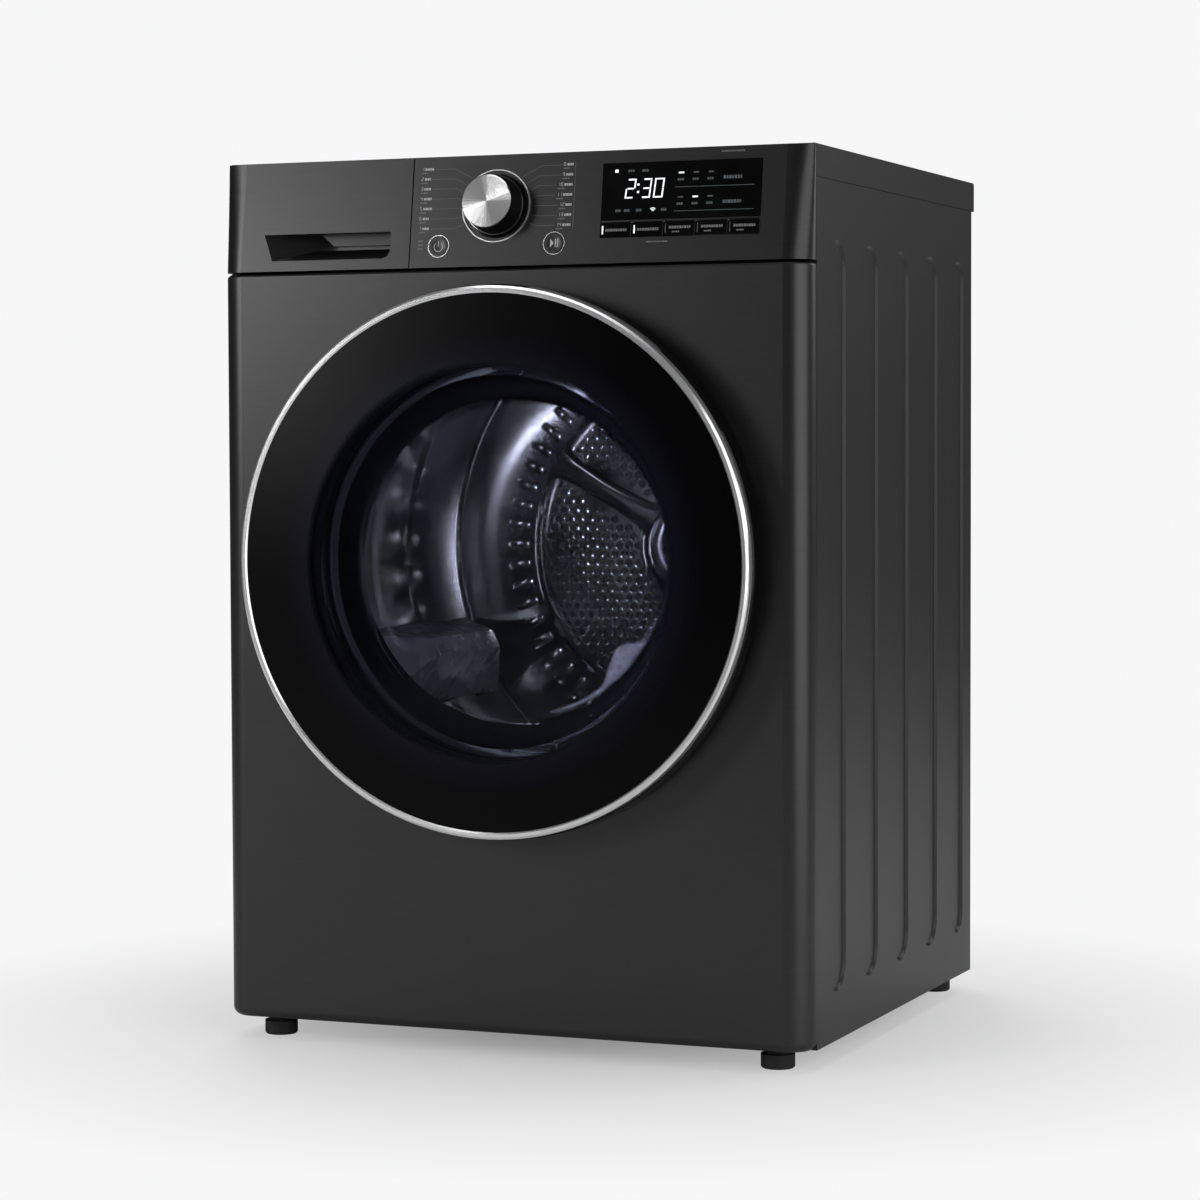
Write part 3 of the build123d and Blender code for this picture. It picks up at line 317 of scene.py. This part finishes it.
OPTION_KEYS = [f"option_key_{i + 1}" for i in range(KEY_COUNT)]
FINISH = {
    GRAPHITE: ["front_panel"],
    SIDE_PAINT: ["left_side_panel", "right_side_panel", "worktop"],
    PANEL: ["control_panel", "drawer_front", "power_button", "start_button"],
    GALVANISED: ["rear_panel", "rear_duct_cover", "rear_bulkhead"],
    CHROME: ["control_rings", "door_ring"],
    BLACK_GLOSS: ["display_window", "dial_body", "door_frame", *OPTION_KEYS],
    BLACK_MATT: ["base_tub", "fan_scroll", "fan_wheel", "heat_exchanger_lid", "drain_spigot", "cord_gland",
                 "roller_left", "roller_right", "door_inner_frame"],
    GREY_MATT: ["front_bulkhead", "drawer_rail", "tank_body", "lint_filter", "latch_hook"],
    LIFTER: ["drum_lifter_1", "drum_lifter_2", "drum_lifter_3"],
    RUBBER: ["door_gasket", "drive_belt", "foot_front_left", "foot_front_right", "foot_rear_left",
             "foot_rear_right"],
    FELT: ["front_felt"],
    STEEL: ["panel_screws", "motor_body", "motor_rotor", "compressor", "hinge_bracket", "door_hinge_leaf",
            "drum_shaft"],
    DRUM: ["drum_shell", "drum_rear_panel"],
    FINS: ["evaporator", "condenser"],
    BOWL: ["door_bowl"],
    GLASS: ["door_glass"],
    LAMP: ["drum_lamp"],
    SPUN: ["dial_cap"],
}
for material, names in FINISH.items():
    for name in names:
        NODES[name].data.materials.clear()
        NODES[name].data.materials.append(material)


# ---------------------------------------------------------------- mesh helpers
def mesh_object(name, verts, faces, material, smooth=False):
    """Object made from points in metres and faces."""
    mesh = bpy.data.meshes.new(name)
    mesh.from_pydata([tuple(v) for v in verts], [], faces)
    mesh.validate()
    mesh.update()
    mesh.materials.append(material)
    if smooth:
        mesh.shade_smooth()
    obj = bpy.data.objects.new(name, mesh)
    bpy.context.scene.collection.objects.link(obj)
    return obj


def join_points(obj):
    """Welds coincident points so that shading runs across neighbouring faces."""
    work = bmesh.new()
    work.from_mesh(obj.data)
    bmesh.ops.remove_doubles(work, verts=work.verts, dist=WELD)
    bmesh.ops.recalc_face_normals(work, faces=work.faces)
    work.to_mesh(obj.data)
    work.free()


class Print:
    """Collects thin printed marks that lie on the leaning control face."""

    def __init__(self, out=0.06, thick=0.05):
        self.verts, self.faces, self.out, self.thick = [], [], out, thick

    def polygon(self, points):
        """Thin flat mark with this outline."""
        start, count = len(self.verts), len(points)
        for painted_highlight_level in (self.out + self.thick, self.out):
            self.verts += [face_point(x, z, painted_highlight_level) for x, z in points]
        top = list(range(start, start + count))
        self.faces.append(top)
        self.faces.append([i + count for i in reversed(top)])
        for i in range(count):
            j = (i + 1) % count
            self.faces.append([start + i, start + count + i, start + count + j, start + j])

    def bar(self, x0, x1, z0, z1, slant=0.0):
        """Upright or slanted block."""
        lean = slant * (z1 - z0)
        self.polygon([(x0, z0), (x1, z0), (x1 + lean, z1), (x0 + lean, z1)])

    def line(self, a, b, width):
        """Straight stroke between two points."""
        (x0, z0), (x1, z1) = a, b
        length = sqrt((x1 - x0) ** 2 + (z1 - z0) ** 2)
        nx, nz = -(z1 - z0) / length * width / 2, (x1 - x0) / length * width / 2
        self.polygon([(x0 + nx, z0 + nz), (x0 - nx, z0 - nz), (x1 - nx, z1 - nz), (x1 + nx, z1 + nz)])

    def arc(self, x, z, r, width, start, end, steps=24):
        """Curved stroke between two angles in degrees."""
        for i in range(steps):
            a, b = (radians(start + (end - start) * k / steps) for k in (i, i + 1))
            outer, inner = r + width / 2, r - width / 2
            self.polygon([(x + inner * cos(a), z + inner * sin(a)), (x + outer * cos(a), z + outer * sin(a)),
                          (x + outer * cos(b), z + outer * sin(b)), (x + inner * cos(b), z + inner * sin(b))])

    def digit(self, value, x, z, high, wide, pen, slant=0.1):
        """Seven-segment numeral with its lower left corner at (x, z)."""
        lit = {"0": "abcdef", "1": "bc", "2": "abged", "3": "abgcd", "4": "fgbc", "5": "afgcd",
               "6": "afgedc", "7": "abc", "8": "abcdefg", "9": "abcdfg"}[value]
        half = high / 2
        inner, right = wide - pen, (wide - pen, wide)
        spans = {"a": (pen, inner, high - pen, high), "g": (pen, inner, half - pen / 2, half + pen / 2),
                 "d": (pen, inner, 0, pen), "f": (0, pen, half, high), "b": (*right, half, high),
                 "e": (0, pen, 0, half), "c": (*right, 0, half)}
        cut = pen * 0.12
        for key in lit:
            x0, x1, z0, z1 = spans[key]
            shift = x + slant * z0
            self.bar(shift + x0 + cut, shift + x1 - cut, z + z0 + cut, z + z1 - cut, slant)

    def make(self, name, material, body):
        """Turns the collected marks into one object that rides on a body."""
        obj = mesh_object(name, self.verts, self.faces, material)
        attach(obj, body)


# ---------------------------------------------------------------- control panel print
def blocks(marks, x, z, widths, high, gap=0.5):
    """A line of small printed blocks, standing in for wording, from x to the right."""
    for width in widths:
        marks.bar(x, x + width, z, z + high)
        x += width + gap


def programme_legends():
    """Two columns of programme numbers with blank wording and leader lines to the dial's ring."""
    marks, faint, lines = Print(), Print(out=0.055), Print(out=0.05, thick=0.04)
    dial_x, dial_z = DIAL
    left_x, right_x, rule_x = -88.5, 67.0, 69.0
    top_z, row_pitch, rows = 836.5, 9.4, 7
    leader_r, elbow_r, fan_out = 37.6, 39.5, 1.28
    figure_step, spacing, pen = 3.1, 0.55, 0.3
    wording = [(1.8, 2.2, 1.4, 2.0), (2.4, 1.6, 1.2), (1.3, 2.6, 1.9), (2.0, 1.2, 2.3, 1.1)]
    for row in range(rows):
        z = top_z - row * row_pitch
        line_z = z + 0.6
        bearing = (z - dial_z) * fan_out
        for side in (-1, 1):
            angle = radians(bearing if side > 0 else 180 - bearing)
            hit = (dial_x + leader_r * cos(angle), dial_z + leader_r * sin(angle))
            number = str(row + 1 if side < 0 else row + 1 + rows)
            widths = wording[(row + (side > 0)) % len(wording)]
            total = sum(widths) + spacing * len(widths)
            start = left_x if side < 0 else right_x - total - figure_step * len(number)
            cursor = start
            for figure in number:
                marks.digit(figure, cursor, z - 0.4, 3.3, 2.2, 0.5, slant=0.0)
                cursor += figure_step
            blocks(marks, cursor + 0.4, z - 0.2, widths, 2.3)
            blocks(faint, start, z - 3.3, widths[:3], 1.2)
            label_end = cursor + total + 1.0 if side < 0 else start - 1.6
            elbow_x = dial_x + side * (elbow_r + abs(hit[1] - z) * 0.6)
            lines.line((label_end, line_z), (elbow_x, line_z), pen)
            lines.line((elbow_x, line_z), hit, pen)
    lines.line((rule_x, 838.5), (rule_x, 776.0), pen)
    for k in range(3):
        blocks(faint, left_x, 768.5 - k * 3.6, (2.4, 1.8), 1.6)
    marks.make("programme_numbers", PRINT, "cabinet")
    faint.make("programme_subtext", DIM_PRINT, "cabinet")
    lines.make("programme_leaders", DIM_PRINT, "cabinet")


def display_print():
    """Time, status icons and level dashes behind the display lens, and the key legends."""
    lit, dim, keys = Print(out=0.2), Print(out=0.2), Print(out=0.32)
    for figure, x in (("2", 119.3), ("3", 134.8), ("0", 147.2)):
        lit.digit(figure, x, 803.4, 18.4, 9.8, 1.7)
    for z in (808.4, 815.2):
        lit.bar(131.6, 133.5, z, z + 1.9, 0.1)
    for k in range(3):
        x = 172 + k * 14.5
        for lit_key, z in ((0, 825.3), (1, 802.8)):
            (lit if k == lit_key else dim).bar(x, x + 5.2, z, z + 1.3)
            blocks(dim, x - 0.8, z - 6.6, (1.7, 1.4, 2.0), 2.1, gap=0.4)
    for z in (812.6, 790.4):
        dim.bar(168.5, 246.0, z, z + 0.45)
    for z in (819.0, 796.6):
        blocks(dim, 216, z, (2.2, 1.8, 2.6, 1.7, 2.4, 2.0, 1.5), 3.0, gap=0.6)
    lit.bar(109.0, 112.2, 828.0, 830.6)
    for x in (122.0, 136.0):
        blocks(dim, x, 828.0, (2.0, 1.4, 1.6), 2.2)
    for x in (111.0, 119.5, 131.5, 156.0):
        blocks(dim, x, 791.2, (1.7, 1.2, 1.5), 2.4, gap=0.4)
    for r in (1.2, 2.4, 3.6):
        lit.arc(148.0, 790.6, r, 0.6, 45, 135, 8)
    wording = (2.2, 1.6, 2.4, 1.9, 2.1, 1.4, 2.2, 1.7, 1.5)
    for k in range(KEY_COUNT):
        x = KEY_FIRST_X + k * KEY_PITCH
        if k < 2:
            lit.bar(x + 1.4, x + 2.8, 771.0, 778.6)
            blocks(keys, x + 5.0, 773.4, wording, 2.4)
        else:
            keys.bar(x + 1.2, x + 1.7, 770.5, 779.4)
            blocks(keys, x + 5.0, 774.6, wording, 2.4)
            blocks(keys, x + 8.0, 771.0, (1.6, 1.2, 1.8, 1.3), 1.3, gap=0.4)
    blocks(keys, 143.0, 762.3, (5.5, 1.8, 1.5, 2.0, 1.6, 5.5), 1.3, gap=0.6)
    blocks(keys, 213.0, 843.6, (1.8, 1.2, 2.0, 1.4, 1.6, 1.9, 1.3, 1.7, 2.0, 1.2, 1.5), 1.4)
    lit.make("display_lit_print", LED, "cabinet")
    dim.make("display_dim_print", LED_DIM, "cabinet")
    keys.make("key_legends", DIM_PRINT, "cabinet")


def button_icons():
    """Power and start symbols on the two round buttons, just clear of their dished faces."""
    power, start = Print(out=0.76, thick=0.06), Print(out=0.76, thick=0.06)
    power.arc(POWER_X, 763.4, 4.4, 0.75, 125, 415)
    power.bar(POWER_X - 0.4, POWER_X + 0.4, 763.6, 769.0)
    power.make("power_symbol", PRINT, "power_button")
    start.polygon([(START_X - 3.6, 760.0), (START_X, 764.0), (START_X - 3.6, 768.0)])
    for offset in (1.2, 3.4):
        start.bar(START_X + offset, START_X + offset + 1.0, 760.2, 767.8)
    start.make("start_symbol", PRINT, "start_button")


programme_legends()
display_print()
button_icons()


# ---------------------------------------------------------------- drum back
GRILLE_FACE = 513.6
RIB_FACE = 522.5
SPOKES = [radians(150 + 120 * i) for i in range(3)]


def beside_spoke(x, z, clearance=19.0):
    """Whether a point of the drum back lies under or next to one of the spokes."""
    for a in SPOKES:
        if x * cos(a) + z * sin(a) > 0 and abs(z * cos(a) - x * sin(a)) < clearance:
            return True
    return False


def drum_grille():
    """Hexagonal field of pressed, rimmed holes between the hub, the spokes and the outer step."""
    pitch, zone_in, zone_out, plain_band, sides = 11.0, 54.0, 181.5, 8.0, 12
    corners = [radians(30 * k + 30) for k in range(sides)]
    hexagon = [pitch / 2 / cos(radians(30)) if k % 2 == 0 else pitch / 2 for k in range(sides)]
    hole = [(4.7, 0.0), (4.2, 1.3), (3.6, 1.2), (3.25, 0.2), (3.2, -1.0)]
    face = FRONT + GRILLE_FACE
    row_step = pitch * sqrt(3) / 2
    reach = int(zone_out / row_step) + 1
    verts, faces = [], []

    def ring(x, z, sizes, lift):
        for a, size in zip(corners, sizes):
            verts.append(Vector((x + size * cos(a), face - lift, z + AXIS_Z + size * sin(a))) * MM)

    for row in range(-reach, reach + 1):
        for column in range(-reach - 1, reach + 2):
            x, z = (column + 0.5 * (row % 2)) * pitch, row * row_step
            r = sqrt(x * x + z * z)
            if not zone_in < r < zone_out:
                continue
            start = len(verts)
            ring(x, z, hexagon, 0.0)
            if beside_spoke(x, z) or not zone_in + plain_band <= r <= zone_out - plain_band:
                faces.append(list(range(start, start + sides)))
                continue
            for size, lift in hole:
                ring(x, z, [size] * sides, lift)
            for base in range(start, start + sides * len(hole), sides):
                for k in range(sides):
                    j = (k + 1) % sides
                    faces.append([base + k, base + j, base + sides + j, base + sides + k])
    field = mesh_object("drum_grille_field", verts, faces, DRUM)
    join_points(field)
    field.data.shade_smooth()
    field.data.set_sharp_from_angle(angle=radians(50))
    return field


def lathe(name, outline, material, steps=160):
    """Smooth surface turned about the drum axis from (radius, depth) points, in millimetres."""
    verts, faces = [], []
    for r, depth in outline:
        for k in range(steps):
            a = tau * k / steps
            verts.append(Vector((r * cos(a), FRONT + depth, AXIS_Z + r * sin(a))) * MM)
    for i in range(len(outline) - 1):
        for k in range(steps):
            j = (k + 1) % steps
            faces.append([i * steps + k, i * steps + j, (i + 1) * steps + j, (i + 1) * steps + k])
    obj = mesh_object(name, verts, faces, material, smooth=True)
    obj.data.set_sharp_from_angle(angle=radians(38))
    return obj


def pressed_forms(name, angles, rows, face):
    """Forms pressed along radii of the drum back, from rows of (radius, [(offset across, height), ...])."""
    verts, faces = [], []
    wide = len(rows[0][1])
    for a in angles:
        along, across = Vector((cos(a), 0, sin(a))), Vector((-sin(a), 0, cos(a)))
        start = len(verts)
        for r, section in rows:
            for offset, lift in section:
                point = along * r + across * offset + Vector((0, FRONT + face - lift, AXIS_Z))
                verts.append(point * MM)
        for i in range(len(rows) - 1):
            for k in range(wide - 1):
                base = start + wide * i + k
                faces.append([base, base + 1, base + wide + 1, base + wide])
    obj = mesh_object(name, verts, faces, DRUM, smooth=True)
    obj.data.set_sharp_from_angle(angle=radians(40))
    return obj


def drum_spokes():
    """Three pressed spokes with sloping flanks, waisted between the hub and the outer step."""
    rows = []
    for r, foot, crest in ((44, 24, 17), (70, 15, 9), (120, 12, 6.5), (165, 14, 8), (183, 22, 14)):
        half = [(foot, 0.05), (crest, 7.0), (crest - 2, 7.6)]
        rows.append((r, [(-offset, lift) for offset, lift in half] + half[::-1]))
    return pressed_forms("drum_back_spokes", SPOKES, rows, GRILLE_FACE)


def drum_rim_ribs():
    """Short radial ribs pressed round the outer zone of the drum back."""
    count, flank = 60, 2.2
    rows = []
    for r, half, lift in ((198, 1.0, 0.0), (201, 3.0, 1.1), (222, 3.0, 1.1), (225, 1.0, 0.0)):
        rows.append((r, [(-half - flank, 0.0), (-half, lift), (half, lift), (half + flank, 0.0)]))
    return pressed_forms("drum_back_ribs", [tau * k / count for k in range(count)], rows, RIB_FACE)


def drum_back():
    """Back of the drum: rim, step, grille field, hub, spokes, ribs, and a black disc behind the holes as
    painted shade.
    """
    step = [(282.6, 507.6), (282.6, 519.5), (281.4, 521.8), (279.0, 522.6), (192.0, 522.6), (189.4, 521.9),
            (187.6, 520.2), (183.6, 515.4), (182.0, 513.9), (179.6, 513.3), (172.0, 513.4)]
    hub = [(64.0, 513.6), (59.0, 513.2), (56.0, 511.0), (51.5, 504.6), (49.0, 503.0), (44.0, 502.4),
           (24.0, 502.0), (22.0, 503.2), (20.0, 503.4), (6.0, 503.2), (0.01, 503.1)]
    # Painted shade: a matt black disc just behind the grille so that the holes read dark.
    shade_disc = [(184.0, 517.0), (120.0, 517.4), (52.0, 517.0)]
    pieces = [drum_grille(), lathe("drum_back_rim", step, DRUM), lathe("drum_back_hub", hub, DRUM),
              drum_spokes(), drum_rim_ribs(), lathe("drum_back_painted_shade_disc", shade_disc, BLACK_MATT)]
    for piece in pieces:
        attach(piece, "drum")
    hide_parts("drum_rear_panel")


def rounded(points, radius, steps=6):
    """Closed outline with every corner eased to an arc that stays inside the corner."""
    eased, count = [], len(points)
    for i, corner in enumerate(points):
        corner = Vector(corner)
        before, after = Vector(points[i - 1]) - corner, Vector(points[(i + 1) % count]) - corner
        reach = min(radius, 0.4 * before.length, 0.4 * after.length)
        start, end = corner + before.normalized() * reach, corner + after.normalized() * reach
        for k in range(steps + 1):
            t = k / steps
            eased.append(start * (1 - t) ** 2 + corner * 2 * t * (1 - t) + end * t ** 2)
    return eased + [eased[0]]


def door_bowl():
    """Moulded glass bowl of the door, with eased bends all round."""
    outline = [(184, -16), (184, -12), (176, -12), (172, -6), (160, 34), (150, 43), (120, 47.5),
               (0.02, 50), (0.02, 46), (119.6, 43.5), (148, 39.4), (156.4, 32), (168.6, -8), (174, -16)]
    bowl = lathe("door_bowl_glass", [tuple(p) for p in rounded(outline, 7.0)], BOWL)
    join_points(bowl)
    bowl.data.shade_smooth()
    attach(bowl, "door")
    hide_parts("door_bowl")


drum_back()
door_bowl()


# ---------------------------------------------------------------- studio
BACKDROP = (0.93, 0.93, 0.94, 1)


def camera():
    """Camera to the right of the front, a little above the object's middle and tipped slightly down."""
    yaw, pitch, roll = 0.3851, -0.0463, -0.0035
    ahead = Vector((-sin(yaw) * cos(pitch), cos(yaw) * cos(pitch), sin(pitch)))
    side = Vector((cos(yaw), sin(yaw), 0))
    up = side.cross(ahead)
    right = side * cos(roll) + up * sin(roll)
    top = up * cos(roll) - side * sin(roll)
    data = bpy.data.cameras.new("photo_camera")
    data.lens = 100.93
    data.sensor_width = 36.0
    data.clip_end = 100
    obj = bpy.data.objects.new("photo_camera", data)
    matrix = Matrix((right, top, -ahead)).transposed().to_4x4()
    matrix.translation = Vector((1.2689, -3.1531, 0.5773))
    obj.matrix_world = matrix
    bpy.context.scene.collection.objects.link(obj)
    bpy.context.scene.camera = obj


def area_light(name, place, target, size, power):
    """Soft box at a place, turned to a target, with its width, height and power in watts."""
    data = bpy.data.lights.new(name, "AREA")
    data.shape = "RECTANGLE"
    data.size, data.size_y = size
    data.energy = power
    obj = bpy.data.objects.new(name, data)
    obj.location = place
    obj.rotation_euler = (Vector(target) - Vector(place)).to_track_quat("-Z", "Y").to_euler()
    bpy.context.scene.collection.objects.link(obj)


def floor_material():
    """Pale floor that keeps its contact shadow and evens out to the backdrop's tone far away."""
    material, tree, output = new_material("studio_floor")
    shader = add(tree, "ShaderNodeBsdfPrincipled")
    shader.inputs["Roughness"].default_value = 0.75
    value = noise(tree, coordinates(tree), 3.0)
    tree.links.new(ramp(tree, value, [(0.3, grey(0.80)), (0.7, grey(0.83))]), shader.inputs["Base Color"])
    glow = add(tree, "ShaderNodeEmission")
    glow.inputs["Color"].default_value = BACKDROP
    split = add(tree, "ShaderNodeSeparateXYZ")
    tree.links.new(coordinates(tree), split.inputs[0])
    radius = radius_of(tree, (split.outputs["X"], split.outputs["Y"]))
    slope = math_node(tree, "MULTIPLY", math_node(tree, "SUBTRACT", radius, 0.3), 1.1)
    far = math_node(tree, "ADD", slope, 0.45, clamp=True)
    path = add(tree, "ShaderNodeLightPath")
    weight = math_node(tree, "MULTIPLY", far, path.outputs["Is Camera Ray"])
    tree.links.new(mix(tree, weight, shader.outputs[0], glow.outputs[0]), output.inputs[0])
    return material


def studio_world():
    """World that the camera sees as pale while it lights the object only faintly."""
    world = bpy.data.worlds.new("studio_world")
    world.use_nodes = True
    tree = world.node_tree
    tree.nodes.clear()
    output, path = add(tree, "ShaderNodeOutputWorld"), add(tree, "ShaderNodeLightPath")
    seen, felt = add(tree, "ShaderNodeBackground"), add(tree, "ShaderNodeBackground")
    seen.inputs["Color"].default_value = BACKDROP
    felt.inputs["Color"].default_value = (0.07, 0.07, 0.075, 1)
    last = mix(tree, path.outputs["Is Camera Ray"], felt.outputs[0], seen.outputs[0])
    tree.links.new(last, output.inputs[0])
    bpy.context.scene.world = world


def studio():
    """Floor, pale backdrop, soft boxes round the object and two small strips behind the door."""
    half = 14
    corners = [(-half, -half, 0), (half, -half, 0), (half, half, 0), (-half, half, 0)]
    mesh_object("studio_floor", corners, [[0, 1, 2, 3]], floor_material())
    studio_world()
    area_light("left_box", (-2.1, -2.7, 1.35), (-0.25, -0.2, 0.6), (0.9, 1.3), 30)
    area_light("right_box", (2.7, -1.3, 1.25), (0.3, -0.1, 0.5), (3.0, 2.6), 40)
    area_light("top_box", (0, 0.2, 3.2), (0, 0, 0.8), (2.6, 2.6), 40)
    area_light("rear_right_box", (2.6, 2.4, 1.8), (0.3, 0.1, 0.4), (1.2, 2.0), 22)
    area_light("rear_left_box", (-2.0, 3.0, 2.0), (0, 0.3, 0.4), (2.0, 2.0), 45)
    area_light("drum_strip_right", (0.168, -0.196, 0.47), (-0.2, 0.12, 0.47), (0.010, 0.18), 1.7)
    area_light("drum_strip_left", (-0.165, -0.19, 0.52), (0.05, 0.25, 0.46), (0.010, 0.10), 0.42)
    bpy.context.scene.view_settings.view_transform = "Standard"


camera()
studio()
